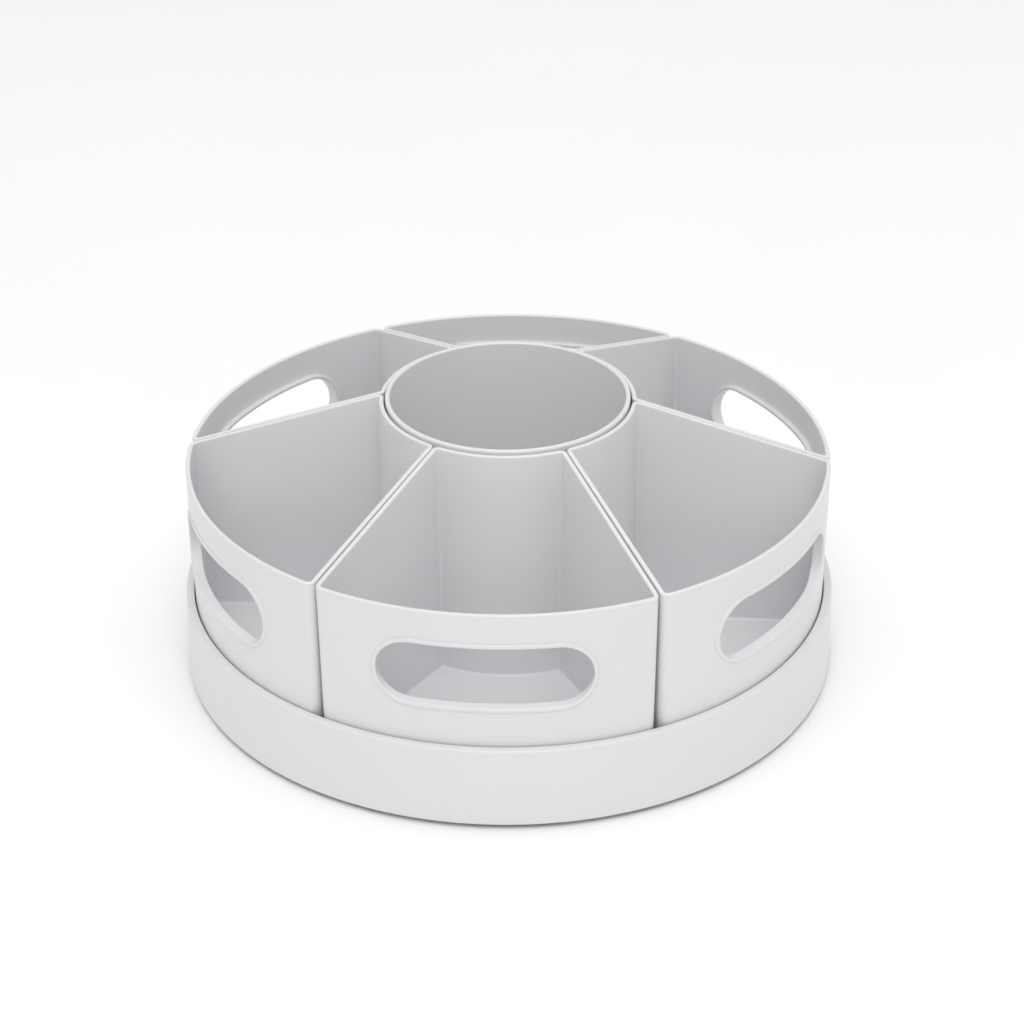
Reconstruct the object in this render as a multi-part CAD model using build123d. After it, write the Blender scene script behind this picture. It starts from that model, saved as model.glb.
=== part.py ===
from build123d import *
import os
from math import radians, sin, sqrt, tan

# Rotating desk organizer: a round tray on a ball turntable, six wedge bins that
# lift out of it, and a round cup in the middle. Millimetres, +Z up. The origin is
# on the desk under the middle of the turntable. Bin 1 faces -Y.

os.makedirs("parts", exist_ok=True)

# ---------------------------------------------------------------- driving sizes
rim_diameter = 278.8         # over the tray's rim
tray_rim_height = 36.8       # desk to the top of the rim
bin_front_height = 96.4      # desk to the flat top edge of a bin's outer wall
bin_back_height = 121.0      # desk to the top of a bin's inner wall
cup_height = 122.4           # desk to the rim of the cup
cup_bore_radius = 49.4       # inside the cup's rim
draft = 0.5                  # bins, cup and tray's inside lean this many degrees
bin_count = 6

# ------------------------------------------------------------------- clearances
neighbour_gap = 0.4          # between two bins where their inner walls are highest
bin_to_rim_gap = 0.5         # bin's outer wall to the tray's wall, at the rim
bin_to_cup_gap = 0.6         # bin's inner wall to the cup's rim
seat_gap = 0.3               # loose seats: cup on its spigot, race in its seat
pivot_gap = 0.06             # radial play of the tray's hub on the pivot boss
washer_play = 0.08           # up and down play of the tray under the washer
ball_play = 0.05             # each ball to the bottom of each groove
cage_play = 0.1              # cage to the ball and to the race that it rides on

# ------------------------------------------------------------- wall thicknesses
bin_wall = 2.0
bin_floor = 2.0
cup_wall = 2.0
tray_wall = 3.5              # at the rim
skirt_wall = 3.0
wall_flare = 0.6             # the foot of the tray's wall stands this far outside its rim
tray_floor = 2.4
plate_thickness = 2.8

# ------------------------------------------------------------------- turntable
foot_stand = 1.55            # how far the feet hold the plate off the desk
foot_radius = 6.0
foot_recess = 0.8
foot_inset = 7.0             # a foot's middle to the plate's edge
foot_stem_radius = 2.0
plate_radius = 97.0
race_inset = 17.0            # the balls' circle to the plate's edge
plate_lip_height = 4.6
race_width = 12.0
race_thickness = 2.0
race_lip_width = 1.4
race_lip_height = 1.5
ball_radius = 3.175
ball_count = 24
groove_radius = 3.4
groove_depth = 0.8
cage_thickness = 2.3
cage_rail_width = 1.2
boss_radius = 11.0
hub_wall = 4.0
washer_radius = 16.0
washer_thickness = 1.6
screw_radius = 2.0
screw_head_radius = 4.4
screw_head_height = 2.6
screw_length = 12.0

# Heights up the stack, from the desk.
plate_bottom = foot_stand
plate_top = plate_bottom + plate_thickness
lower_race_top = plate_top + race_thickness
ball_middle = lower_race_top - groove_depth + ball_play + ball_radius
upper_race_bottom = ball_middle + ball_radius + ball_play - groove_depth
tray_floor_bottom = upper_race_bottom + race_thickness
tray_floor_top = tray_floor_bottom + tray_floor
boss_top = tray_floor_top + washer_play
washer_top = boss_top + washer_thickness
foot_circle = plate_radius - foot_inset
race_circle = plate_radius - race_inset
race_inner = race_circle - race_width / 2
race_outer = race_circle + race_width / 2


def ring(inner, outer, bottom, top):
    """A flat ring between two radii and two heights."""
    tube = Pos(0, 0, bottom) * extrude(Circle(outer) - Circle(inner), amount=top - bottom)
    return tube


def turned(points):
    """A closed outline of (radius, height) pairs, turned round the Z axis."""
    outline = make_face(Polyline(*points, close=True))
    return revolve(Plane.XZ * outline, axis=Axis.Z)


def around(count, radius, first=0.0):
    """Evenly spaced places on a circle, each turned to face outwards."""
    places = []
    for k in range(count):
        angle = first + 360.0 * k / count
        places.append(Rot(0, 0, angle) * Pos(radius, 0, 0))
    return places


# ------------------------------------------------------------------ base plate
# A moulded disc with the pivot boss in its middle, two lips that seat the lower
# race, a stiffening lip round its edge and six radial ribs.
lip = race_lip_width
plate_outline = [
    (0, plate_bottom),
    (plate_radius, plate_bottom),
    (plate_radius, plate_top + plate_lip_height),
    (plate_radius - 2.0, plate_top + plate_lip_height),
    (plate_radius - 2.0, plate_top),
    (race_outer + seat_gap + lip, plate_top),
    (race_outer + seat_gap + lip, plate_top + race_lip_height),
    (race_outer + seat_gap, plate_top + race_lip_height),
    (race_outer + seat_gap, plate_top),
    (race_inner - seat_gap, plate_top),
    (race_inner - seat_gap, plate_top + race_lip_height),
    (race_inner - seat_gap - lip, plate_top + race_lip_height),
    (race_inner - seat_gap - lip, plate_top),
    (boss_radius, plate_top),
    (boss_radius, boss_top - 0.8),
    (boss_radius - 0.8, boss_top),
    (0, boss_top),
]
base_plate = turned(plate_outline)
rib_start = boss_radius - 1.0
rib_end = race_inner - seat_gap - lip / 2
rib_length = rib_end - rib_start
plate_rib = Pos(0, 0, plate_top + 0.9) * Box(rib_length, 1.6, 2.0)
for place in around(6, (rib_start + rib_end) / 2, 30.0):
    base_plate += place * plate_rib
foot_places = around(6, foot_circle)
foot_pocket = Pos(0, 0, plate_bottom) * extrude(Circle(foot_radius + 0.1), amount=foot_recess)
stem_hole = Pos(0, 0, plate_bottom) * extrude(Circle(foot_stem_radius), amount=plate_thickness)
for place in foot_places:
    base_plate -= place * foot_pocket
    base_plate -= place * stem_hole
screw_tip = washer_top - screw_length
screw_hole = Pos(0, 0, screw_tip - 0.5) * extrude(Circle(screw_radius), amount=screw_length)
base_plate -= screw_hole

# ----------------------------------------------------------------- rubber feet
# A round pad with a stem, pushed up into the plate.
foot_outline = [
    (0, 0),
    (foot_radius - 0.6, 0),
    (foot_radius, 0.6),
    (foot_radius, foot_stand + foot_recess),
    (foot_stem_radius, foot_stand + foot_recess),
    (foot_stem_radius, plate_top - 0.1),
    (0, plate_top - 0.1),
]
rubber_foot = turned(foot_outline)

# ------------------------------------------------------------- races and balls
# Two alike rings, each with a groove, face each other over the balls.
race_blank = ring(race_inner, race_outer, 0, race_thickness)
groove_middle = race_thickness - groove_depth + groove_radius
groove_disc = Pos(race_circle, groove_middle) * Circle(groove_radius)
groove = revolve(Plane.XZ * groove_disc, axis=Axis.Z)
race = race_blank - groove
lower_race = Pos(0, 0, plate_top) * race
upper_race = Pos(0, 0, tray_floor_bottom) * Rot(180, 0, 0) * race

ball = Sphere(ball_radius)
ball_places = around(ball_count, race_circle)
balls = []
for place in ball_places:
    balls.append(Pos(0, 0, ball_middle) * place * ball)
bearing_balls = Compound(children=balls)

# The cage has a round pocket for every ball and rides on two thin rails, one on
# each side of the groove of the lower race.
cage_inner = race_inner + 1.0
cage_outer = race_outer - 1.0
cage_bottom = ball_middle - cage_thickness / 2
rail_bottom = lower_race_top + cage_play
ball_cage = ring(cage_inner, cage_outer, cage_bottom, cage_bottom + cage_thickness)
ball_cage += ring(cage_inner, cage_inner + cage_rail_width, rail_bottom, cage_bottom)
ball_cage += ring(cage_outer - cage_rail_width, cage_outer, rail_bottom, cage_bottom)
pocket_radius = ball_radius + cage_play
pocket = Pos(0, 0, rail_bottom) * extrude(Circle(pocket_radius), amount=ball_radius * 2)
for place in ball_places:
    ball_cage -= place * pocket

# ------------------------------------------------------------ washer and screw
pivot_washer = ring(screw_radius + 0.25, washer_radius, boss_top, washer_top)
head = Pos(0, 0, washer_top) * extrude(Circle(screw_head_radius), amount=screw_head_height)
head = fillet(head.edges().sort_by(Axis.Z)[-1], 1.6)
cross_arm = Pos(0, 0, washer_top + screw_head_height) * Box(4.6, 1.1, 3.2)
head -= cross_arm
head -= Rot(0, 0, 90) * cross_arm
shank_outline = [
    (0, screw_tip),
    (screw_radius * 0.35, screw_tip),
    (screw_radius, screw_tip + 2.2),
    (screw_radius, washer_top + 0.5),
    (0, washer_top + 0.5),
]
pivot_screw = head + turned(shank_outline)

# ------------------------------------------------------------------------ tray
# Floor, wall and skirt are one turned section. The skirt hides the turntable and
# ends just clear of the desk.
lean = tan(radians(draft))
rim_radius = rim_diameter / 2
skirt_bottom = 2.0
floor_wall_radius = rim_radius - tray_wall - (tray_rim_height - tray_floor_top) * lean
skirt_radius = rim_radius + wall_flare
skirt_inner = skirt_radius - skirt_wall
hub_outer = boss_radius + pivot_gap + hub_wall
hub_bottom = plate_top + 3.4
rim_round = tray_wall / 2 - 0.25
spigot_height = 3.0
cup_top_radius = cup_bore_radius + cup_wall
cup_foot_radius = cup_top_radius - (cup_height - tray_floor_top) * lean
spigot_outer = cup_foot_radius - cup_wall - seat_gap
tray_outline = [
    (boss_radius + pivot_gap, hub_bottom),
    (hub_outer, hub_bottom),
    (hub_outer, tray_floor_bottom),
    (race_inner - seat_gap - lip, tray_floor_bottom),
    (race_inner - seat_gap - lip, tray_floor_bottom - race_lip_height),
    (race_inner - seat_gap, tray_floor_bottom - race_lip_height),
    (race_inner - seat_gap, tray_floor_bottom),
    (race_outer + seat_gap, tray_floor_bottom),
    (race_outer + seat_gap, tray_floor_bottom - race_lip_height),
    (race_outer + seat_gap + lip, tray_floor_bottom - race_lip_height),
    (race_outer + seat_gap + lip, tray_floor_bottom),
    (skirt_inner, tray_floor_bottom),
    (skirt_inner, skirt_bottom),
    (skirt_radius, skirt_bottom),
    (rim_radius, tray_rim_height),
    (rim_radius - tray_wall, tray_rim_height),
    (floor_wall_radius, tray_floor_top),
    (spigot_outer, tray_floor_top),
    (spigot_outer, tray_floor_top + spigot_height),
    (spigot_outer - 1.6, tray_floor_top + spigot_height),
    (spigot_outer - 1.6, tray_floor_top),
    (boss_radius + pivot_gap, tray_floor_top),
]
tray = turned(tray_outline)
rim_edges = tray.edges().filter_by_position(Axis.Z, tray_rim_height - 0.01, tray_rim_height + 0.01)
tray = fillet(rim_edges, rim_round)
skirt_edges = tray.edges().filter_by_position(Axis.Z, skirt_bottom - 0.01, skirt_bottom + 0.01)
tray = fillet(skirt_edges.sort_by(SortBy.LENGTH)[-1], 1.2)

# Low ribs on the floor stand in the gaps between the bins, and deeper ribs under
# the floor tie the skirt to it.
divider_start = spigot_outer + 8.0
divider_end = floor_wall_radius + 0.8
divider_length = divider_end - divider_start
divider_height = 3.0
divider = Pos(0, 0, tray_floor_top + divider_height / 2 - 0.2)
divider *= Box(divider_length, 1.4, divider_height + 0.4)
for place in around(bin_count, (divider_start + divider_end) / 2, 0.0):
    tray += place * divider
under_start = plate_radius + 3.0
under_length = skirt_inner + 0.5 - under_start
under_rib = Pos(0, 0, tray_floor_bottom - 2.4) * Box(under_length, 1.6, 5.6)
for place in around(12, under_start + under_length / 2, 15.0):
    tray += place * under_rib

# ------------------------------------------------------------------ wedge bins
# One outline is raised with the mould's draft, hollowed by the same outline set
# in by the wall, and cut off along a cone, so the outer wall's edge stays level
# while the side walls' edges run straight up to the taller inner wall.
half_angle = 180.0 / bin_count
bin_raise = bin_back_height - tray_floor_top
spread = bin_raise * lean
bin_outer_at_rim = rim_radius - tray_wall - bin_to_rim_gap
bin_outer_low = bin_outer_at_rim - (tray_rim_height - tray_floor_top) * lean
bin_inner_low = cup_top_radius + bin_to_cup_gap + spread
half_gap_low = neighbour_gap / 2 + spread
outer_corner = 3.6
inner_corner = 3.0
slot_end_to_seam = 27.183     # at the rim's radius, so the slot's ends keep their margin
slot_width = 2 * (rim_radius * sin(radians(half_angle)) - slot_end_to_seam)
slot_height = 27.2
slot_drop = 28.5              # front edge down to the slot's middle
slot_middle = bin_front_height - slot_drop
slot_bead = 1.9
bead_proud = 0.7
bead_inward = 2.1
bead_rounding = 0.6


def wedge(inner, outer, half_gap, outer_round, inner_round):
    """The plan of one bin, facing -Y: a 60 degree piece of a ring, round-cornered."""
    tip = half_gap / sin(radians(half_angle))
    reach = outer * 1.5
    side = reach * tan(radians(half_angle))
    fan = make_face(Polyline((0, -tip), (side, -tip - reach), (-side, -tip - reach), close=True))
    plan = (Circle(outer) - Circle(inner)) & fan
    corners = plan.vertices().sort_by(Axis.Y)
    plan = fillet(corners[-2:], inner_round)
    corners = plan.vertices().sort_by(lambda v: -abs(v.X))
    plan = fillet(corners[:2], outer_round)
    return plan


def outer_face(height, set_out):
    """Radius of a bin's outer wall at a height, plus a distance outwards."""
    return bin_outer_low + (height - tray_floor_top) * lean + set_out


bin_plan = wedge(bin_inner_low, bin_outer_low, half_gap_low, outer_corner, inner_corner)
bin_block = Pos(0, 0, tray_floor_top) * extrude(bin_plan, amount=bin_raise, taper=-draft)
set_in = bin_wall - bin_floor * lean
hollow_plan = wedge(
    bin_inner_low + set_in,
    bin_outer_low - set_in,
    half_gap_low + set_in,
    outer_corner - bin_wall,
    inner_corner - bin_wall,
)
hollow_bottom = tray_floor_top + bin_floor
hollow_raise = bin_back_height - hollow_bottom + 1.0
hollow = Pos(0, 0, hollow_bottom) * extrude(hollow_plan, amount=hollow_raise, taper=-draft)
hollow = fillet(hollow.faces().sort_by(Axis.Z)[0].edges(), 1.0)
bin_block = fillet(bin_block.faces().sort_by(Axis.Z)[0].edges(), 2.4)
bin_shell = bin_block - hollow

edge_outer = outer_face(bin_front_height, -bin_wall - 0.4)
edge_inner = cup_top_radius + bin_to_cup_gap + bin_wall + 0.6
above_edge = [
    (rim_radius + 5, bin_front_height),
    (edge_outer, bin_front_height),
    (edge_inner, bin_back_height),
    (edge_inner, bin_back_height + 20),
    (rim_radius + 5, bin_back_height + 20),
]
bin_shell -= turned(above_edge)

# The hand slot: a long hole with round ends, and a rounded bead all round it that
# stands a little out of the wall and further into the bin.
slot_plan = SlotOverall(slot_width, slot_height)
bead_plan = SlotOverall(slot_width + 2 * slot_bead, slot_height + 2 * slot_bead)
slot_plane = Plane(origin=(0, -rim_radius - 5, slot_middle), x_dir=(1, 0, 0), z_dir=(0, 1, 0))
slot_cut = extrude(slot_plane * slot_plan, amount=60)
bead_block = extrude(slot_plane * bead_plan, amount=60)
bead_low = slot_middle - slot_height
bead_high = slot_middle + slot_height
bead_shell = turned([
    (outer_face(bead_low, -bin_wall - bead_inward), bead_low),
    (outer_face(bead_low, bead_proud), bead_low),
    (outer_face(bead_high, bead_proud), bead_high),
    (outer_face(bead_high, -bin_wall - bead_inward), bead_high),
])
bead = bead_block & bead_shell
bin_shell = bin_shell + bead - slot_cut


def stands_out(edge):
    """True for the bead's edges on the face that stands out of the wall."""
    middle = edge.position_at(0.5)
    radius = sqrt(middle.X**2 + middle.Y**2)
    return middle.Y < 0 and abs(radius - outer_face(middle.Z, bead_proud)) < 0.05


bead_edges = [edge for edge in bin_shell.edges() if stands_out(edge)]
bin_shell = fillet(bead_edges, bead_rounding)

bins = []
for k in range(bin_count):
    bins.append(Rot(0, 0, 360.0 * k / bin_count) * bin_shell)

# ------------------------------------------------------------------ centre cup
# A plain round cup. Its floor is raised to clear the pivot screw.
cup_floor_bottom = washer_top + screw_head_height + 1.4
cup_floor_top = cup_floor_bottom + 2.0
cup_lean_at_floor = (cup_height - cup_floor_top) * lean
cup_outline = [
    (cup_foot_radius - cup_wall, tray_floor_top),
    (cup_foot_radius, tray_floor_top),
    (cup_top_radius, cup_height),
    (cup_bore_radius, cup_height),
    (cup_bore_radius - cup_lean_at_floor, cup_floor_top),
    (0, cup_floor_top),
    (0, cup_floor_bottom),
    (cup_foot_radius - cup_wall, cup_floor_bottom),
]
center_cup = turned(cup_outline)
cup_rim = center_cup.edges().filter_by_position(Axis.Z, cup_height - 0.01, cup_height + 0.01)
center_cup = fillet(cup_rim, 0.8)

# ---------------------------------------------------------------------- export
pieces = {
    "base_plate": base_plate,
    "lower_race": lower_race,
    "upper_race": upper_race,
    "bearing_balls": bearing_balls,
    "ball_cage": ball_cage,
    "pivot_washer": pivot_washer,
    "pivot_screw": pivot_screw,
    "tray": tray,
    "center_cup": center_cup,
}
for k in range(6):
    pieces["rubber_foot_" + str(k + 1)] = foot_places[k] * rubber_foot
for k in range(bin_count):
    pieces["bin_" + str(k + 1)] = bins[k]
for name in pieces:
    export_step(pieces[name], "parts/" + name + ".step")
    box = pieces[name].bounding_box()
    print(name, round(pieces[name].volume), box.min, box.max)
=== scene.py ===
from math import atan2, cos, hypot, pi, radians, sin, sqrt, tan

import bmesh
import bpy
from mathutils import Matrix, Vector


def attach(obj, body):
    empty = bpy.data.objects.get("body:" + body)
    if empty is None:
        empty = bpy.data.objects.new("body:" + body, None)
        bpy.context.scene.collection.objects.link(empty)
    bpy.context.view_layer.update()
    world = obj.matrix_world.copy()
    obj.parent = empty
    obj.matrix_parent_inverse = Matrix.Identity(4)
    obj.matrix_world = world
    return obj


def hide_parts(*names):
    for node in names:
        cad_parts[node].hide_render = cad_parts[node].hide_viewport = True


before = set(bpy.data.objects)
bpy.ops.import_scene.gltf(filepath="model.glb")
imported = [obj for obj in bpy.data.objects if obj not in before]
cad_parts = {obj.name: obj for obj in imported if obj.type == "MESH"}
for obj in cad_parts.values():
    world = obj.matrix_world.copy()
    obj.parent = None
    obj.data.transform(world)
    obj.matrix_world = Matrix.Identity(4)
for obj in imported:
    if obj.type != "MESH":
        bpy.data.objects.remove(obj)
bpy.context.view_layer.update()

# ---- Base plate --------------------------------------------------------------
# The disc that stays still on the desk: white polypropylene, injection moulded
# in one piece with its pivot boss, the lips that seat the lower race and six
# ribs. It is left as it leaves the mould, a little duller than the tray.
MM = 0.001  # metres in a millimetre
WELD = 0.001  # points nearer than this many mm are one point
ON_RING = 0.02  # mm that a ring's vertices may lie off its radius and height
SHARP_EDGE = radians(38)
PLASTIC_IOR = 1.49
GRAIN_DEPTH = 0.00008


class Reading:
    """A number that varies over a surface. Sums written with it become Math nodes."""

    def __init__(self, mixture, socket):
        self.mixture = mixture
        self.socket = socket

    def sum_with(self, operation, first, second):
        made = self.mixture.node("ShaderNodeMath", {"operation": operation}, {0: first, 1: second})
        return Reading(self.mixture, made.outputs[0])

    def __add__(self, other):
        return self.sum_with("ADD", self, other)

    __radd__ = __add__

    def __sub__(self, other):
        return self.sum_with("SUBTRACT", self, other)

    def __rsub__(self, other):
        return self.sum_with("SUBTRACT", other, self)

    def __mul__(self, other):
        return self.sum_with("MULTIPLY", self, other)

    __rmul__ = __mul__


class Mixture:
    """A node tree of a material or of the room, begun empty."""

    def __init__(self, tree):
        self.tree = tree
        self.tree.nodes.clear()

    def plug(self, socket, value):
        """Links a reading to a socket, or writes a plain value on it."""
        if isinstance(value, Reading):
            self.tree.links.new(value.socket, socket)
        else:
            socket.default_value = value

    def node(self, kind, settings=None, sockets=None):
        """Any node: its settings are set first, then the values or links of its sockets."""
        made = self.tree.nodes.new(kind)
        for setting, value in (settings or {}).items():
            setattr(made, setting, value)
        for name, value in (sockets or {}).items():
            self.plug(made.inputs[name], value)
        return made

    def out(self, node, socket=0):
        return Reading(self, node.outputs[socket])


class Finish(Mixture):
    """One material as it is mixed: its shader and its coordinates."""

    def __init__(self, name):
        self.material = bpy.data.materials.new(name)
        self.material.use_nodes = True
        super().__init__(self.material.node_tree)
        self.shader = self.node("ShaderNodeBsdfPrincipled")
        self.node("ShaderNodeOutputMaterial", {}, {"Surface": self.out(self.shader)})
        self.place = self.out(self.node("ShaderNodeTexCoord"), "Object")

    def feed(self, **values):
        """Plugs values or links into the shader's sockets, named with _ for a space."""
        for name, value in values.items():
            self.plug(self.shader.inputs[name.replace("_", " ")], value)

    def cloud(self, scale, detail=2.0, stretch=(1, 1, 1)):
        """Soft random patches, about 1/scale metres across."""
        turned = self.node("ShaderNodeMapping", {}, {"Vector": self.place, "Scale": stretch})
        noise = self.node(
            "ShaderNodeTexNoise", {}, {"Vector": self.out(turned), "Scale": scale, "Detail": detail}
        )
        return self.out(noise)

    def blend(self, amount, first, second):
        """Mixes two colours: a Mix node takes them at sockets 6 and 7 and gives output 2."""
        made = self.node("ShaderNodeMix", {"data_type": "RGBA"}, {0: amount, 6: first, 7: second})
        return self.out(made, 2)

    def bumped(self, height, strength, depth):
        made = self.node(
            "ShaderNodeBump", {}, {"Height": height, "Strength": strength, "Distance": depth}
        )
        return self.out(made)


def moulded(name, pale, deep, gloss, grain):
    """Moulded plastic: faint clouds in its colour, and a fine grain in its skin."""
    finish = Finish(name)
    clouds = finish.cloud(26.0)
    flow = finish.cloud(9.0, detail=3.0, stretch=(1, 1, 0.25))
    skin = finish.cloud(1500.0, detail=1.0)
    scuffs = finish.cloud(160.0, detail=4.0, stretch=(1, 1, 0.3))
    finish.feed(
        Base_Color=finish.blend(clouds * 0.6 + flow * 0.4, deep, pale),
        Roughness=(skin - 0.5) * 0.07 + (scuffs - 0.5) * 0.05 + gloss,
        Normal=finish.bumped(skin * 0.9 + flow * 0.1, grain, GRAIN_DEPTH),
        IOR=PLASTIC_IOR,
    )
    return finish.material


def drawn(bm, points, closed=True):
    """Draws an outline through points, and gives back its vertices."""
    corners = [bm.verts.new(point) for point in points]
    following = corners[1:] + corners[:1] if closed else corners[1:]
    for first, second in zip(corners, following):
        bm.edges.new((first, second))
    return corners


def turned_section(corners, steps, closed=True):
    """A section of (radius, height) corners in mm, turned once round the Z axis."""
    bm = bmesh.new()
    drawn(bm, [(radius, 0, height) for radius, height in corners], closed)
    bmesh.ops.spin(
        bm,
        geom=bm.verts[:] + bm.edges[:],
        cent=(0, 0, 0),
        axis=(0, 0, 1),
        angle=2 * pi,
        steps=steps,
        use_merge=True,
    )
    bmesh.ops.remove_doubles(bm, verts=bm.verts[:], dist=WELD)
    bmesh.ops.recalc_face_normals(bm, faces=bm.faces[:])
    return bm


def eased(bm, edges, width, segments):
    """Rounds edges over to a width in mm."""
    bmesh.ops.bevel(
        bm,
        geom=edges,
        offset=width,
        offset_type="OFFSET",
        segments=segments,
        profile=0.5,
        affect="EDGES",
        material=-1,
        clamp_overlap=True,
    )


def round_ring(bm, radius, height, width, segments=3):
    """Rounds the sharp ring that lies at one radius and height."""

    def on_ring(vert):
        off_radius = abs(hypot(vert.co.x, vert.co.y) - radius)
        return off_radius < ON_RING and abs(vert.co.z - height) < ON_RING

    ring = [edge for edge in bm.edges if on_ring(edge.verts[0]) and on_ring(edge.verts[1])]
    eased(bm, ring, width, segments)


def add_bar(bm, lowest, highest, turn, rounding=0.25):
    """A straight bar between two corners, turned round the Z axis, edges eased."""
    bar = bmesh.ops.create_cube(bm, size=1.0)["verts"]
    size = [high - low for low, high in zip(lowest, highest)]
    middle = [(high + low) / 2 for low, high in zip(lowest, highest)]
    bmesh.ops.scale(bm, vec=size, verts=bar)
    bmesh.ops.translate(bm, vec=middle, verts=bar)
    bmesh.ops.rotate(bm, cent=(0, 0, 0), matrix=Matrix.Rotation(turn, 3, "Z"), verts=bar)
    edges = {edge for vert in bar for edge in vert.link_edges}
    eased(bm, list(edges), rounding, segments=2)


def finished(bm, name, material):
    """Turns a bmesh in mm into a smooth-shaded piece in metres, crisp at sharp edges."""
    for face in bm.faces:
        face.smooth = True
    for edge in bm.edges:
        if len(edge.link_faces) == 2:
            edge.smooth = edge.calc_face_angle(0.0) < SHARP_EDGE
    bmesh.ops.scale(bm, vec=(MM, MM, MM), verts=bm.verts[:])
    mesh = bpy.data.meshes.new(name)
    bm.to_mesh(mesh)
    bm.free()
    mesh.materials.append(material)
    piece = bpy.data.objects.new(name, mesh)
    bpy.context.scene.collection.objects.link(piece)
    weighted = piece.modifiers.new("even_shading", "WEIGHTED_NORMAL")
    weighted.keep_sharp = True
    return piece


PLATE_RADIUS = 97.0
PLATE_LOW = 1.55
PLATE_TOP = 4.35
PLATE_LIP_INNER = PLATE_RADIUS - 2.0
PLATE_LIP_TOP = PLATE_TOP + 4.6
BOSS_RADIUS = 11.0
BOSS_TOP = 15.68
RACE_CIRCLE = 80.0  # through the middles of the balls
RACE_INNER = RACE_CIRCLE - 6.0
RACE_OUTER = RACE_CIRCLE + 6.0
SEAT_GAP = 0.3
SEAT_LIP_WIDTH = 1.4
SEAT_LIP_HEIGHT = 1.5
PLATE_RIBS = 6
RIB_HALF = 0.8  # half of a rib's thickness
RIB_START = BOSS_RADIUS - 1.0
RIB_END = RACE_INNER - SEAT_GAP - 0.8
RIB_LOW = PLATE_TOP - 0.15
RIB_TOP = PLATE_TOP + 1.9


def race_seat(level, lip_end):
    """The two lips between which a race sits, from the outer lip to the inner one."""
    outer = RACE_OUTER + SEAT_GAP
    inner = RACE_INNER - SEAT_GAP
    corners = []
    for far, near in ((outer + SEAT_LIP_WIDTH, outer), (inner, inner - SEAT_LIP_WIDTH)):
        corners += [(far, level), (far, lip_end), (near, lip_end), (near, level)]
    return corners


base_white = moulded(
    "base_polypropylene",
    pale=(0.76, 0.76, 0.77, 1),
    deep=(0.71, 0.71, 0.72, 1),
    gloss=0.48,
    grain=0.25,
)
plate_rim = [
    (0, PLATE_LOW),
    (PLATE_RADIUS, PLATE_LOW),
    (PLATE_RADIUS, PLATE_LIP_TOP),
    (PLATE_LIP_INNER, PLATE_LIP_TOP),
    (PLATE_LIP_INNER, PLATE_TOP),
]
plate_seat = race_seat(PLATE_TOP, PLATE_TOP + SEAT_LIP_HEIGHT)
plate_boss = [(BOSS_RADIUS, PLATE_TOP), (BOSS_RADIUS, BOSS_TOP), (0, BOSS_TOP)]
plate = turned_section(plate_rim + plate_seat + plate_boss, steps=144, closed=False)
round_ring(plate, PLATE_RADIUS, PLATE_LOW, width=0.8)
round_ring(plate, PLATE_RADIUS, PLATE_LIP_TOP, width=0.5)
round_ring(plate, PLATE_LIP_INNER, PLATE_LIP_TOP, width=0.5)
round_ring(plate, BOSS_RADIUS, BOSS_TOP, width=0.8)
for rib in range(PLATE_RIBS):
    turn = radians(360 / PLATE_RIBS * (rib + 0.5))
    add_bar(plate, (RIB_START, -RIB_HALF, RIB_LOW), (RIB_END, RIB_HALF, RIB_TOP), turn)
base_plate_piece = finished(plate, "base_plate_moulding", base_white)
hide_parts("base_plate")
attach(base_plate_piece, "base")

# ---- Rubber feet -------------------------------------------------------------
# Six non-slip pads of black rubber, each with a stem pushed up into a hole in
# the base plate. The rubber is matt, with a faint bloom.
FOOT_COUNT = 6
FOOT_CIRCLE = PLATE_RADIUS - 7.0
FOOT_RADIUS = 6.0
FOOT_TOP = PLATE_LOW + 0.8
STEM_RADIUS = 2.0
STEM_TOP = PLATE_TOP - 0.1
rubber = Finish("foot_rubber_black")
bloom = rubber.cloud(220.0, detail=4.0)
rubber.feed(
    Base_Color=rubber.blend(bloom, (0.018, 0.018, 0.019, 1), (0.045, 0.045, 0.047, 1)),
    Roughness=bloom * 0.2 + 0.68,
    Normal=rubber.bumped(rubber.cloud(1400.0), strength=0.3, depth=0.0002),
)
foot_section = [
    (0, 0),
    (FOOT_RADIUS, 0),
    (FOOT_RADIUS, FOOT_TOP),
    (STEM_RADIUS, FOOT_TOP),
    (STEM_RADIUS, STEM_TOP),
    (0, STEM_TOP),
]
for foot in range(FOOT_COUNT):
    pad = turned_section(foot_section, steps=40, closed=False)
    round_ring(pad, FOOT_RADIUS, 0, width=0.7, segments=4)
    round_ring(pad, FOOT_RADIUS, FOOT_TOP, width=0.2, segments=2)
    turn = Matrix.Rotation(radians(360 / FOOT_COUNT * foot), 4, "Z")
    place = turn @ Matrix.Translation((FOOT_CIRCLE, 0, 0))
    bmesh.ops.transform(pad, matrix=place, verts=pad.verts[:])
    foot_piece = finished(pad, "foot_pad_" + str(foot + 1), rubber.material)
    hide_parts("rubber_foot_" + str(foot + 1))
    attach(foot_piece, "base")

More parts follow.
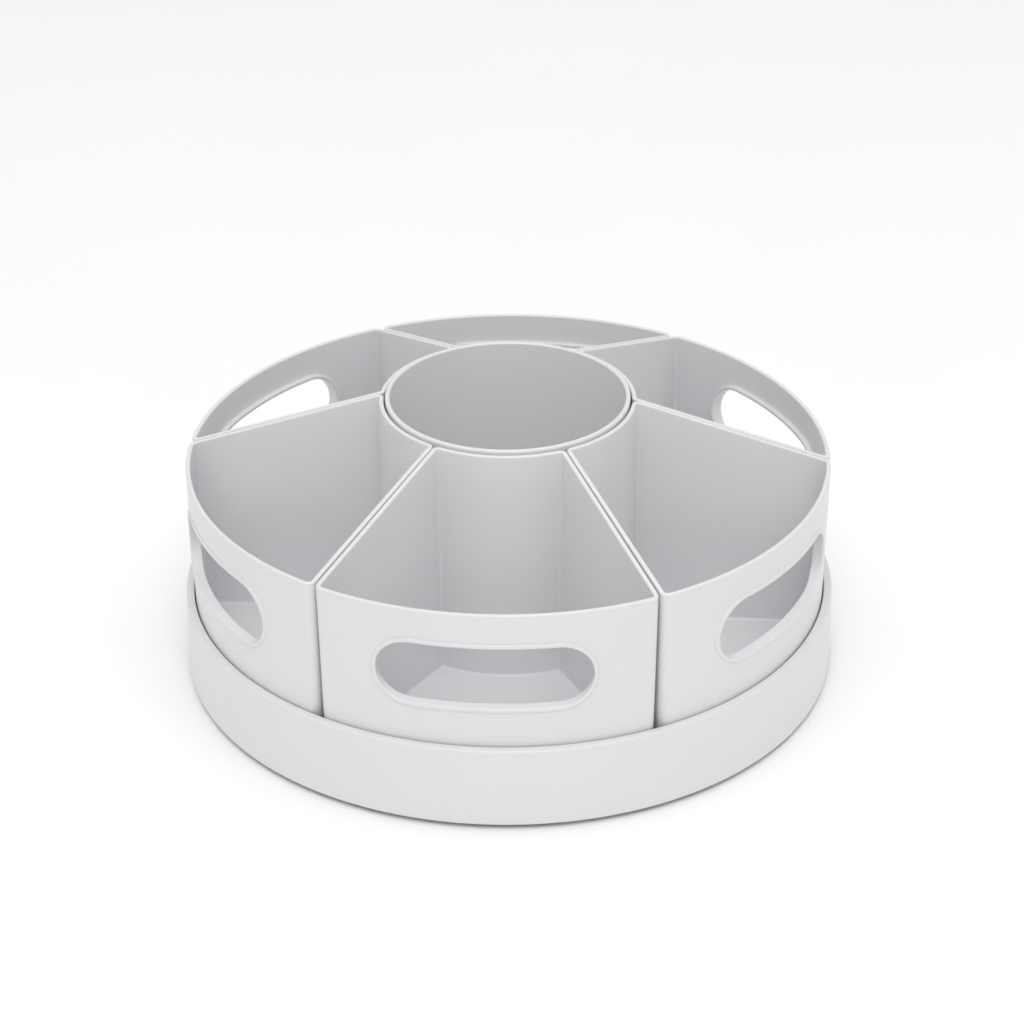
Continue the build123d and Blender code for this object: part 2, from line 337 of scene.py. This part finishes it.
# ---- Races, balls and cage ---------------------------------------------------
# The turntable's bearing: two alike acetal rings with a groove, steel balls
# between them, and an acetal cage that keeps the balls apart. The lower ring
# drops into the base plate and the upper one into the underside of the tray.
FLOOR_LOW = 13.2  # the underside of the tray's floor
LOWER_RACE_FACE = PLATE_TOP + 2.0
UPPER_RACE_FACE = FLOOR_LOW - 2.0
GROOVE_RADIUS = 3.4
GROOVE_DEPTH = 0.8
GROOVE_STEPS = 12
BALL_COUNT = 24
BALL_RADIUS = 3.175
BALL_MIDDLE = (LOWER_RACE_FACE + UPPER_RACE_FACE) / 2
acetal = moulded(
    "race_acetal",
    pale=(0.70, 0.70, 0.67, 1),
    deep=(0.64, 0.64, 0.61, 1),
    gloss=0.36,
    grain=0.12,
)


def race_section(face, back):
    """A race's section: flat back, flat face, and the round groove in the face."""
    up = 1 if face > back else -1
    clear = GROOVE_RADIUS - GROOVE_DEPTH
    start = atan2(clear, sqrt(GROOVE_RADIUS**2 - clear**2))
    groove = []
    for step in range(GROOVE_STEPS + 1):
        angle = pi + start + (pi - 2 * start) * step / GROOVE_STEPS
        radius = RACE_CIRCLE + GROOVE_RADIUS * cos(angle)
        groove.append((radius, face + up * (clear + GROOVE_RADIUS * sin(angle))))
    inner_side = [(RACE_INNER, back), (RACE_INNER, face)]
    return inner_side + groove + [(RACE_OUTER, face), (RACE_OUTER, back)]


for race, face, back, body in (
    ("lower_race", LOWER_RACE_FACE, PLATE_TOP, "base"),
    ("upper_race", UPPER_RACE_FACE, FLOOR_LOW, "turntable"),
):
    ring = turned_section(race_section(face, back), steps=144)
    race_piece = finished(ring, race + "_ring", acetal)
    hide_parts(race)
    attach(race_piece, body)

steel = Finish("ball_bearing_steel")
smear = steel.cloud(420.0, detail=3.0)
steel.feed(
    Base_Color=steel.blend(smear, (0.52, 0.52, 0.54, 1), (0.66, 0.66, 0.68, 1)),
    Metallic=1.0,
    Roughness=smear * 0.14 + 0.08,
)
balls = bmesh.new()
for ball in range(BALL_COUNT):
    made = bmesh.ops.create_uvsphere(balls, u_segments=24, v_segments=14, radius=BALL_RADIUS)
    bmesh.ops.translate(balls, vec=(RACE_CIRCLE, 0, BALL_MIDDLE), verts=made["verts"])
    turn = Matrix.Rotation(radians(360 / BALL_COUNT * ball), 3, "Z")
    bmesh.ops.rotate(balls, cent=(0, 0, 0), matrix=turn, verts=made["verts"])
balls_piece = finished(balls, "steel_balls", steel.material)
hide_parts("bearing_balls")
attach(balls_piece, "ball_ring")

for cage_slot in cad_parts["ball_cage"].material_slots:
    cage_slot.material = acetal

# ---- Washer and screw --------------------------------------------------------
# A wide zinc-plated washer over the tray's hub and one pan-head screw with a
# cross recess, driven down into the boss of the base plate.
WASHER_RADIUS = 16.0
WASHER_TOP = BOSS_TOP + 1.6
SCREW_RADIUS = 2.0
SCREW_TIP = WASHER_TOP - 12.0
WASHER_BORE = SCREW_RADIUS + 0.25
HEAD_RADIUS = 4.4
HEAD_TOP = WASHER_TOP + 2.6
ARM_REACH = 2.3  # of the recess's cross, from the screw's middle
ARM_HALF = 0.55
ARM_LOW = HEAD_TOP - 1.68
ARM_HIGH = HEAD_TOP + 1.52
zinc = Finish("zinc_plate")
frost = zinc.cloud(300.0, detail=5.0)
brushed = zinc.cloud(90.0, stretch=(1, 1, 8))
zinc.feed(
    Base_Color=zinc.blend(frost, (0.50, 0.51, 0.53, 1), (0.68, 0.69, 0.71, 1)),
    Metallic=1.0,
    Roughness=frost * 0.16 + brushed * 0.12 + 0.2,
    Normal=zinc.bumped(frost, strength=0.12, depth=0.0001),
)
washer_section = [
    (WASHER_BORE, BOSS_TOP),
    (WASHER_RADIUS, BOSS_TOP),
    (WASHER_RADIUS, WASHER_TOP),
    (WASHER_BORE, WASHER_TOP),
]
washer = turned_section(washer_section, steps=96)
round_ring(washer, WASHER_RADIUS, WASHER_TOP, width=0.35)
round_ring(washer, WASHER_RADIUS, BOSS_TOP, width=0.2, segments=2)
washer_piece = finished(washer, "hub_washer", zinc.material)
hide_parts("pivot_washer")
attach(washer_piece, "base")

screw_section = [
    (0, SCREW_TIP),
    (SCREW_RADIUS * 0.35, SCREW_TIP),
    (SCREW_RADIUS, SCREW_TIP + 2.2),
    (SCREW_RADIUS, WASHER_TOP),
    (HEAD_RADIUS, WASHER_TOP),
    (HEAD_RADIUS, HEAD_TOP),
    (0, HEAD_TOP),
]
screw = turned_section(screw_section, steps=64, closed=False)
round_ring(screw, HEAD_RADIUS, HEAD_TOP, width=1.6, segments=6)
round_ring(screw, HEAD_RADIUS, WASHER_TOP, width=0.2, segments=2)
screw_piece = finished(screw, "hub_screw", zinc.material)
recess = bmesh.new()
for turn in (0.0, pi / 2):
    lowest = (-ARM_REACH, -ARM_HALF, ARM_LOW)
    add_bar(recess, lowest, (ARM_REACH, ARM_HALF, ARM_HIGH), turn, rounding=0.1)
recess_tool = finished(recess, "recess_tool", zinc.material)


def throw_away(piece):
    """Removes a piece that only helped to shape another, and its mesh."""
    mesh = piece.data
    bpy.data.objects.remove(piece)
    bpy.data.meshes.remove(mesh)


def cut_away(piece, tool):
    """Cuts the tool's shape out of the piece for good, and throws the tool away."""
    shading = piece.modifiers["even_shading"]
    shading.show_viewport = False
    cut = piece.modifiers.new("cut", "BOOLEAN")
    cut.operation = "DIFFERENCE"
    cut.solver = "EXACT"
    cut.use_self = True
    cut.object = tool
    depsgraph = bpy.context.evaluated_depsgraph_get()
    shaped = bpy.data.meshes.new_from_object(piece.evaluated_get(depsgraph))
    uncut = piece.data
    piece.modifiers.remove(cut)
    piece.data = shaped
    shaped.name = piece.name
    bpy.data.meshes.remove(uncut)
    piece.modifiers["even_shading"].show_viewport = True
    throw_away(tool)


cut_away(screw_piece, recess_tool)
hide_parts("pivot_screw")
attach(screw_piece, "base")

# ---- Turntable tray ----------------------------------------------------------
# One moulding in white polystyrene: a floor with low dividers between the bins,
# an upright rim with a flat, soft-edged top, and a skirt that reaches down to
# just above the desk and hides the bearing. It turns on the boss of the plate.
BIN_COUNT = 6
LEAN = tan(radians(0.5))  # the mould's draft, on each wall that lifts out
FLOOR_TOP = FLOOR_LOW + 2.4
RIM_RADIUS = 139.4
RIM_WALL = 3.5
RIM_INNER = RIM_RADIUS - RIM_WALL
RIM_TOP = 36.8
SKIRT_RADIUS = RIM_RADIUS + 0.6
SKIRT_INNER = SKIRT_RADIUS - 3.0
SKIRT_LOW = 2.0
HUB_BORE = BOSS_RADIUS + 0.06
HUB_RADIUS = HUB_BORE + 4.0
HUB_LOW = PLATE_TOP + 3.4
CUP_RADIUS = 51.4
CUP_WALL = 2.0
CUP_TOP = 122.4
DIVIDER_HALF = 0.7
DIVIDER_TOP = FLOOR_TOP + 3.0
DIVIDER_LOW = FLOOR_TOP - 0.4
UNDER_RIBS = 12
UNDER_RIB_LOW = FLOOR_LOW - 5.2
UNDER_RIB_TOP = FLOOR_LOW + 0.4
wall_foot = RIM_INNER - (RIM_TOP - FLOOR_TOP) * LEAN
cup_foot = CUP_RADIUS - (CUP_TOP - FLOOR_TOP) * LEAN
spigot = cup_foot - CUP_WALL - SEAT_GAP
spigot_inner = spigot - 1.6
spigot_top = FLOOR_TOP + 3.0
white = moulded(
    "tray_white_polystyrene",
    pale=(0.757, 0.753, 0.768, 1),
    deep=(0.73, 0.726, 0.742, 1),
    gloss=0.30,
    grain=0.18,
)
tray_hub = [(HUB_BORE, HUB_LOW), (HUB_RADIUS, HUB_LOW), (HUB_RADIUS, FLOOR_LOW)]
tray_seat = race_seat(FLOOR_LOW, FLOOR_LOW - SEAT_LIP_HEIGHT)[::-1]
tray_wall = [
    (SKIRT_INNER, FLOOR_LOW),
    (SKIRT_INNER, SKIRT_LOW),
    (SKIRT_RADIUS, SKIRT_LOW),
    (RIM_RADIUS, RIM_TOP),
    (RIM_INNER, RIM_TOP),
    (wall_foot, FLOOR_TOP),
]
tray_spigot = [
    (spigot, FLOOR_TOP),
    (spigot, spigot_top),
    (spigot_inner, spigot_top),
    (spigot_inner, FLOOR_TOP),
    (HUB_BORE, FLOOR_TOP),
]
tray = turned_section(tray_hub + tray_seat + tray_wall + tray_spigot, steps=240)
round_ring(tray, RIM_RADIUS, RIM_TOP, width=1.15, segments=5)
round_ring(tray, RIM_INNER, RIM_TOP, width=0.6, segments=4)
round_ring(tray, SKIRT_RADIUS, SKIRT_LOW, width=1.0, segments=5)
round_ring(tray, SKIRT_INNER, SKIRT_LOW, width=0.5, segments=2)
round_ring(tray, wall_foot, FLOOR_TOP, width=1.2, segments=4)
round_ring(tray, spigot, spigot_top, width=0.4)
round_ring(tray, spigot_inner, spigot_top, width=0.4)
round_ring(tray, SKIRT_INNER, FLOOR_LOW, width=0.8)
for divider in range(BIN_COUNT):
    lowest = (spigot + 8, -DIVIDER_HALF, DIVIDER_LOW)
    highest = (wall_foot + 0.8, DIVIDER_HALF, DIVIDER_TOP)
    add_bar(tray, lowest, highest, radians(360 / BIN_COUNT * divider))
for rib in range(UNDER_RIBS):
    lowest = (PLATE_RADIUS + 3.0, -RIB_HALF, UNDER_RIB_LOW)
    highest = (SKIRT_INNER + 0.5, RIB_HALF, UNDER_RIB_TOP)
    add_bar(tray, lowest, highest, radians(360 / UNDER_RIBS * (rib + 0.5)))
tray_piece = finished(tray, "tray_moulding", white)
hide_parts("tray")
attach(tray_piece, "turntable")

# ---- Wedge bins --------------------------------------------------------------
# Six open bins, each a sixth of the ring, moulded in the tray's white plastic. The
# side walls' edges rise straight to the taller inner wall, and a rounded bead runs
# round the oval hand slot. Nothing fixes them: they stand on the tray and lift out.
BIN_FRONT = 96.4
BIN_BACK = 121.0
BIN_WALL = 2.0
OUTER_CORNER = 3.6
INNER_CORNER = 3.0
LEAST_CORNER = 0.5
FOOT_EASE = 2.4
FLOOR_EASE = 1.4
RIM_EASE = 0.75
LEVEL_OUTSIDE = 133.5  # the top edge is level from this radius outwards
LEVEL_INSIDE = 54.6  # and from this one inwards
HALF_ANGLE = radians(180 / BIN_COUNT)
OUTER_STEPS = 36
INNER_STEPS = 30
CORNER_STEPS = 8
rise = BIN_BACK - FLOOR_TOP
bin_outer = RIM_INNER - 0.5 - (RIM_TOP - FLOOR_TOP) * LEAN
bin_inner = CUP_RADIUS + 0.6 + rise * LEAN
half_gap = 0.2 + rise * LEAN


def outer_face(height):
    """The radius of the outer wall's outside at a height."""
    return bin_outer + (height - FLOOR_TOP) * LEAN


def arc(middle, radius, first, last, steps):
    """Points on an arc round a middle, both ends included."""
    turns = [first + (last - first) * step / steps for step in range(steps + 1)]
    return [(middle[0] + radius * cos(turn), middle[1] + radius * sin(turn)) for turn in turns]


def wedge_ring(inset, height):
    """The bin's outline at one height, drawn in by an inset: its right half, then the mirror."""
    outer = outer_face(height) - inset
    inner = bin_inner - (height - FLOOR_TOP) * LEAN + inset
    gap = half_gap - (height - FLOOR_TOP) * LEAN + inset
    half = []
    for reach, corner, outside in ((outer, OUTER_CORNER, True), (inner, INNER_CORNER, False)):
        corner = max(corner - inset, LEAST_CORNER)
        away = reach - corner if outside else reach + corner
        along = sqrt(away**2 - (gap + corner) ** 2)
        middle = (
            along * sin(HALF_ANGLE) - (gap + corner) * cos(HALF_ANGLE),
            -along * cos(HALF_ANGLE) - (gap + corner) * sin(HALF_ANGLE),
        )
        turn = atan2(middle[1], middle[0])
        if outside:
            half += arc((0, 0), outer, -pi / 2, turn, OUTER_STEPS)[:-1]
            half += arc(middle, corner, turn, HALF_ANGLE, CORNER_STEPS)
        else:
            half += arc(middle, corner, HALF_ANGLE, turn + pi, CORNER_STEPS)
            half += arc((0, 0), inner, turn, -pi / 2, INNER_STEPS)[1:]
    mirrored = [(-across, deep) for across, deep in half[-2:0:-1]]
    return half + mirrored


def edge_line(across, deep):
    """How high the top edge runs: level at both walls and straight in between."""
    share = (LEVEL_OUTSIDE - hypot(across, deep)) / (LEVEL_OUTSIDE - LEVEL_INSIDE)
    return BIN_FRONT + (BIN_BACK - BIN_FRONT) * min(max(share, 0), 1)


def rim_ring(inset, below):
    """The outline at the top edge, each point at its own height and lean."""
    low_ring = wedge_ring(inset, FLOOR_TOP)
    high_ring = wedge_ring(inset, BIN_BACK)
    ring = []
    for low_point, high_point in zip(low_ring, high_ring):
        height = edge_line(*high_point) - below
        share = (height - FLOOR_TOP) / rise
        point = [low + (high - low) * share for low, high in zip(low_point, high_point)]
        ring.append((point[0], point[1], height))
    return ring


def flat_ring(inset, height):
    """The outline at one height, as points in space."""
    return [(across, deep, height) for across, deep in wedge_ring(inset, height)]


def quarter_turn(steps):
    """The rise and the run of a quarter circle, from 0 and 1 to 1 and 0."""
    turns = [pi / 2 * step / steps for step in range(steps + 1)]
    return [(sin(turn), cos(turn)) for turn in turns]


def lofted(levels):
    """A skin raised ring by ring through the levels, with its two ends closed."""
    bm = bmesh.new()
    ring = drawn(bm, levels[0])
    for level in levels[1:]:
        edges = [bm.edges.get(pair) for pair in zip(ring, ring[1:] + ring[:1])]
        made = set(bmesh.ops.extrude_edge_only(bm, edges=edges)["geom"])
        grown = []
        for vert, place in zip(ring, level):
            above = next(edge for edge in vert.link_edges if edge.other_vert(vert) in made)
            grown.append(above.other_vert(vert))
            grown[-1].co = place
        ring = grown
    open_edges = [edge for edge in bm.edges if len(edge.link_faces) == 1]
    bmesh.ops.holes_fill(bm, edges=open_edges, sides=0)
    bmesh.ops.recalc_face_normals(bm, faces=bm.faces[:])
    return bm


bin_levels = []
for up, along in quarter_turn(5):
    bin_levels.append(flat_ring(FOOT_EASE * (1 - up), FLOOR_TOP + FOOT_EASE * (1 - along)))
for up, along in quarter_turn(4):
    bin_levels.append(rim_ring(RIM_EASE * (1 - along), RIM_EASE * (1 - up)))
for up, along in quarter_turn(4):
    bin_levels.append(rim_ring(BIN_WALL - RIM_EASE * (1 - up), RIM_EASE * (1 - along)))
for up, along in quarter_turn(4):
    inset = BIN_WALL + FLOOR_EASE * (1 - along)
    bin_levels.append(flat_ring(inset, FLOOR_TOP + BIN_WALL + FLOOR_EASE * (1 - up)))
bin_master = finished(lofted(bin_levels), "bin_master", white)

SLOT_WIDTH = 85.03
SLOT_HEIGHT = 27.2
SLOT_MIDDLE = 67.9
SLOT_STEPS = 24  # round each end
RUN_CUTS = 38  # along each straight run, so that it bends round the wall
BEAD = 1.9
BEAD_OUT = 0.7
BEAD_IN = 2.1
BEAD_EASE = 0.65
HOLE_MARGIN = 0.9  # the raw hole is this much larger, and the bead fills it
half_run = (SLOT_WIDTH - SLOT_HEIGHT) / 2
half_height = SLOT_HEIGHT / 2


def stadium(section):
    """Carries a section once round the slot: round each end and back along each run."""
    bm = bmesh.new()
    drawn(bm, [(half_run, depth, radius) for radius, depth in section])
    current = bm.verts[:] + bm.edges[:]
    for end, back in ((half_run, -2 * half_run), (-half_run, 2 * half_run)):
        turned = bmesh.ops.spin(
            bm, geom=current, cent=(end, 0, 0), axis=(0, 1, 0), angle=pi, steps=SLOT_STEPS
        )["geom_last"]
        run = bmesh.ops.extrude_edge_only(
            bm, edges=[item for item in turned if isinstance(item, bmesh.types.BMEdge)]
        )["geom"]
        moved = [item for item in run if isinstance(item, bmesh.types.BMVert)]
        bmesh.ops.translate(bm, vec=(back, 0, 0), verts=moved)
        current = moved + [
            item
            for item in run
            if isinstance(item, bmesh.types.BMEdge)
            and item.verts[0] in moved
            and item.verts[1] in moved
        ]
    bmesh.ops.remove_doubles(bm, verts=bm.verts[:], dist=WELD)
    long_edges = [edge for edge in bm.edges if edge.calc_length() > half_run]
    bmesh.ops.subdivide_edges(bm, edges=long_edges, cuts=RUN_CUTS, use_grid_fill=True)
    bmesh.ops.recalc_face_normals(bm, faces=bm.faces[:])
    return bm


def bend_to_wall(bm):
    """Lays a flat slot shape round the outer wall: y becomes the distance outwards."""
    for vert in bm.verts:
        across, outwards, height = vert.co
        radius = outer_face(height + SLOT_MIDDLE) + outwards
        vert.co = (across, -sqrt(radius**2 - across**2), height + SLOT_MIDDLE)


hole_end = half_height + HOLE_MARGIN
hole_outline = arc((half_run, 0), hole_end, -pi / 2, pi / 2, SLOT_STEPS)
hole_outline += arc((-half_run, 0), hole_end, pi / 2, 3 * pi / 2, SLOT_STEPS)
hole_levels = []
for depth in (-160, -100):
    hole_levels.append([(across, depth, up + SLOT_MIDDLE) for across, up in hole_outline])
slot_tool = finished(lofted(hole_levels), "slot_tool", white)
cut_away(bin_master, slot_tool)

bead_section = [
    (half_height, -BIN_WALL - BEAD_IN),
    (half_height, BEAD_OUT),
    (half_height + BEAD, BEAD_OUT),
    (half_height + BEAD, -BIN_WALL - BEAD_IN),
]
bead = stadium(bead_section)
bead_edges = [
    edge
    for edge in bead.edges
    if len(edge.link_faces) == 2
    and edge.link_faces[0].normal.dot(edge.link_faces[1].normal) < 0.5
]
eased(bead, bead_edges, BEAD_EASE, segments=4)
bend_to_wall(bead)
bmesh.ops.recalc_face_normals(bead, faces=bead.faces[:])
bead_master = finished(bead, "bead_master", white)

for number in range(BIN_COUNT):
    joined = bmesh.new()
    joined.from_mesh(bin_master.data)
    joined.from_mesh(bead_master.data)
    turn = Matrix.Rotation(radians(360 / BIN_COUNT * number), 3, "Z")
    bmesh.ops.rotate(joined, cent=(0, 0, 0), matrix=turn, verts=joined.verts[:])
    bmesh.ops.scale(joined, vec=(1 / MM, 1 / MM, 1 / MM), verts=joined.verts[:])
    bin_piece = finished(joined, "wedge_bin_moulding_" + str(number + 1), white)
    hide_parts("bin_" + str(number + 1))
    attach(bin_piece, "wedge_bin_" + str(number + 1))
for master in (bin_master, bead_master):
    throw_away(master)

# ---- Centre cup --------------------------------------------------------------
# A plain round cup in the same white plastic, a little taller than the bins. It
# drops over the low ring in the middle of the tray, and its floor is raised to
# clear the washer and the screw.
CUP_BORE = CUP_RADIUS - CUP_WALL
CUP_FLOOR_LOW = HEAD_TOP + 1.4
CUP_FLOOR_TOP = CUP_FLOOR_LOW + 2.0
cup_bore_foot = CUP_BORE - (CUP_TOP - CUP_FLOOR_TOP) * LEAN
cup_section = [
    (cup_foot - CUP_WALL, FLOOR_TOP),
    (cup_foot, FLOOR_TOP),
    (CUP_RADIUS, CUP_TOP),
    (CUP_BORE, CUP_TOP),
    (cup_bore_foot, CUP_FLOOR_TOP),
    (0, CUP_FLOOR_TOP),
    (0, CUP_FLOOR_LOW),
    (cup_foot - CUP_WALL, CUP_FLOOR_LOW),
]
cup = turned_section(cup_section, steps=144)
round_ring(cup, CUP_RADIUS, CUP_TOP, width=0.8, segments=4)
round_ring(cup, CUP_BORE, CUP_TOP, width=0.8, segments=4)
round_ring(cup, cup_bore_foot, CUP_FLOOR_TOP, width=3.0, segments=5)
round_ring(cup, cup_foot, FLOOR_TOP, width=0.6)
cup_piece = finished(cup, "centre_cup_moulding", white)
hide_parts("center_cup")
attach(cup_piece, "cup")

# ---- Floor -------------------------------------------------------------------
# The table top that the organizer stands on: matt, plain white, and wide enough to
# fill the picture from every side. It lies a tenth of a millimetre below the feet.
TABLE_DROP = Matrix.Translation((0, 0, -0.0001))
floor_mesh = bmesh.new()
bmesh.ops.create_grid(floor_mesh, x_segments=2, y_segments=2, size=9.0, matrix=TABLE_DROP)
floor_data = bpy.data.meshes.new("floor")
floor_mesh.to_mesh(floor_data)
floor_mesh.free()
floor = bpy.data.objects.new("floor", floor_data)
bpy.context.scene.collection.objects.link(floor)
table_top = Finish("table_top_white")
table_grain = table_top.cloud(6.0, detail=3.0)
table_top.feed(
    Base_Color=table_top.blend(table_grain, (0.95, 0.95, 0.95, 1), (0.975, 0.975, 0.975, 1)),
    Roughness=table_grain * 0.1 + 0.7,
)
floor_data.materials.append(table_top.material)

# ---- Light -------------------------------------------------------------------
# A bright white room, a touch dimmer to the left and right, one large soft light
# high above the front, and a smaller one that draws the bright line along each
# rounded edge.
ROOM_STRENGTH = 0.68
SIDE_LOSS = 0.1
LIT_POINT = Vector((0, 0, 0.06))
scene = bpy.context.scene
room = bpy.data.worlds.new("white_room")
room.use_nodes = True
air = Mixture(room.node_tree)
way = air.node("ShaderNodeTexCoord")
parts = air.node("ShaderNodeSeparateXYZ", {}, {0: air.out(way, "Generated")})
aside = air.out(parts, "X")
strength = ROOM_STRENGTH - aside * aside * SIDE_LOSS
glow = air.node("ShaderNodeBackground", {}, {"Color": (1, 1, 1, 1), "Strength": strength})
air.node("ShaderNodeOutputWorld", {}, {"Surface": air.out(glow)})
scene.world = room
scene.view_settings.view_transform = "Standard"
for name, spot, width, power in (
    ("key_light", (0.1, -0.5, 3.0), 4.2, 44.0),
    ("edge_light", (0.12, -1.15, 1.75), 0.7, 7.6),
):
    lamp = bpy.data.lights.new(name, "AREA")
    lamp.size = width
    lamp.energy = power
    lamp_object = bpy.data.objects.new(name, lamp)
    aim = (LIT_POINT - Vector(spot)).to_track_quat("-Z", "Y")
    lamp_object.matrix_world = Matrix.Translation(spot) @ aim.to_matrix().to_4x4()
    scene.collection.objects.link(lamp_object)

# ---- Camera ------------------------------------------------------------------
# A long lens at the photograph's angle, a little right of the front bin's middle.
# Its place and its aim were fitted to the outlines in the photograph.
CAMERA_DISTANCE = 1.171
CAMERA_UP = radians(31.968)
CAMERA_RIGHT = radians(4.289)
LOOK_ASIDE = radians(-0.084)
LOOK_DOWN = 29.158
CAMERA_ROLL = radians(-0.351)
camera_data = bpy.data.cameras.new("camera")
camera_data.sensor_width = 36.0
camera_data.lens = 93.22
camera = bpy.data.objects.new("camera", camera_data)
back_and_up = (0, -CAMERA_DISTANCE * cos(CAMERA_UP), CAMERA_DISTANCE * sin(CAMERA_UP))
camera.matrix_world = (
    Matrix.Rotation(CAMERA_RIGHT, 4, "Z")
    @ Matrix.Translation(back_and_up)
    @ Matrix.Rotation(LOOK_ASIDE, 4, "Z")
    @ Matrix.Rotation(radians(90 - LOOK_DOWN), 4, "X")
    @ Matrix.Rotation(CAMERA_ROLL, 4, "Z")
)
scene.collection.objects.link(camera)
scene.camera = camera
